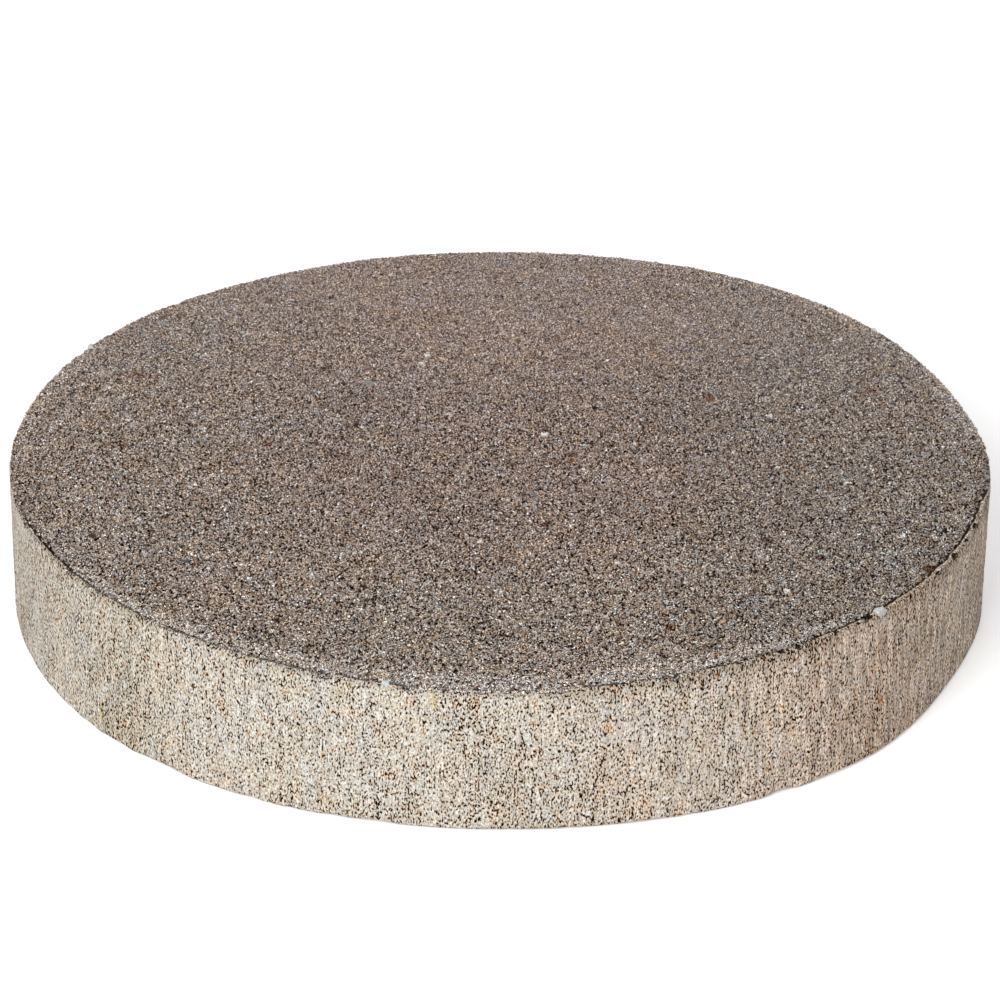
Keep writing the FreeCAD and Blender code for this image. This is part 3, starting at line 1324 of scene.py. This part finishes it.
def concrete_material():
    material = bpy.data.materials.new("weathered_concrete")
    tree = Tree(material)
    place = millimetres(tree)
    fine = tree.noise(place, FINE_SIZE, roughness=FINE_ROUGHNESS)
    level = pit_level(tree, place)
    wall_colour = wall_finish(tree, place, level)
    wall_colour = tree.mix(tree.attribute("base_share"), wall_colour, tree.ramp(fine, BASE_TONES))
    broken = tree.noise(place, RAGGED_SIZE, roughness=FINE_ROUGHNESS)
    ragged = tree.math("MULTIPLY", tree.math("SUBTRACT", broken, 0.5), RAGGED_REACH)
    is_tread = tree.steps(tree.math("ADD", tree.attribute("tread_share"), ragged), *RAGGED_FADE)
    colour = tree.mix(is_tread, wall_colour, tread_finish(tree, fine))
    skin_height = tree.math("MINIMUM", level, SKIN_LEVEL)
    height = tree.add("Mix", {"Factor": is_tread, 2: skin_height, 3: fine}).outputs[0]
    bump = tree.add("Bump", {"Strength": BUMP_STRENGTH, "Distance": BUMP_HEIGHT * MM, "Height": height})
    inputs = {
        "Base Color": colour,
        "Roughness": CONCRETE_ROUGHNESS,
        "Specular IOR Level": DULL_SPECULAR,
        "Normal": bump.outputs["Normal"],
    }
    tree.finish(tree.add("BsdfPrincipled", inputs))
    return material


concrete = concrete_material()
grain_finish = grain_material()
stone.data.materials.append(concrete)
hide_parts(NODE)
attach(stone, "root")
for piece in (*grain_pieces, wall_grains, edge_chips):
    piece.data.materials.append(grain_finish)
    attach(piece, "root")

# Floor and light

FLOOR_SIDE = 12.0
FLOOR_COLOUR = 0.9
FLOOR_GLOW = 0.42


def backdrop_share(tree):
    """1 for a ray that shows the backdrop: from the camera, by reflection or through glass."""
    paths = tree.add("LightPath")
    seen = tree.math("MAXIMUM", paths.outputs["Is Camera Ray"], paths.outputs["Is Glossy Ray"])
    return tree.math("MAXIMUM", seen, paths.outputs["Is Transmission Ray"])


def pale_floor():
    half = FLOOR_SIDE / 2
    mesh = bpy.data.meshes.new("floor")
    corners = [(-half, -half, 0), (half, -half, 0), (half, half, 0), (-half, half, 0)]
    mesh.from_pydata(corners, [], [(0, 1, 2, 3)])
    floor = add_object("floor", mesh)
    material = bpy.data.materials.new("pale_floor")
    tree = Tree(material)
    seen = backdrop_share(tree)
    matt = tree.add("BsdfDiffuse", {"Color": (FLOOR_COLOUR, FLOOR_COLOUR, FLOOR_COLOUR, 1)})
    glow = tree.add("Emission", {"Strength": tree.math("MULTIPLY", seen, FLOOR_GLOW)})
    both = tree.add("AddShader", {0: matt.outputs[0], 1: glow.outputs[0]})
    tree.finish(both)
    mesh.materials.append(material)


pale_floor()

AMBIENT = 0.36


def soft_world():
    world = bpy.data.worlds.new("soft_world")
    bpy.context.scene.world = world
    tree = Tree(world)
    seen = backdrop_share(tree)
    level = tree.add("Mix", {"Factor": seen, 2: AMBIENT, 3: 1.0}).outputs[0]
    background = tree.add("Background", {"Color": (1, 1, 1, 1), "Strength": level})
    tree.finish(background, "OutputWorld")


soft_world()


def area_light(name, azimuth, elevation, distance, size, power):
    """A square lamp aimed at the stone. Azimuth 0 is the camera's side, and grows towards +X."""
    turn = radians(azimuth)
    rise = radians(elevation)
    away = Vector((sin(turn) * cos(rise), -cos(turn) * cos(rise), sin(rise)))
    lamp = bpy.data.lights.new(name, "AREA")
    lamp.shape = "SQUARE"
    lamp.size = size
    lamp.energy = power
    thing = add_object(name, lamp)
    thing.location = away * distance
    thing.rotation_mode = "QUATERNION"
    thing.rotation_quaternion = (-away).to_track_quat("-Z", "Y")


area_light("key", azimuth=-23, elevation=38, distance=2.2, size=1.0, power=32.0)
area_light("back", azimuth=172, elevation=42, distance=0.75, size=0.5, power=0.65)

# Camera, fitted to the photograph's outline of the stone

LENS = 180.6
SENSOR = 36.0
VIEW_ELEVATION = radians(27.0)
VIEW_DISTANCE = 1.572
VIEW_HEIGHT = 0.0298
VIEW_ROLL = 0.0089


def add_camera():
    data = bpy.data.cameras.new("camera")
    data.lens = LENS
    data.sensor_width = SENSOR
    camera = add_object("camera", data)
    away = Vector((0, -cos(VIEW_ELEVATION), sin(VIEW_ELEVATION)))
    aim = (-away).to_track_quat("-Z", "Y").to_matrix() @ Matrix.Rotation(VIEW_ROLL, 3, "Z")
    camera.location = Vector((0, 0, VIEW_HEIGHT)) + away * VIEW_DISTANCE
    camera.rotation_mode = "QUATERNION"
    camera.rotation_quaternion = aim.to_quaternion()
    bpy.context.scene.camera = camera


add_camera()
bpy.context.scene.view_settings.view_transform = "Standard"
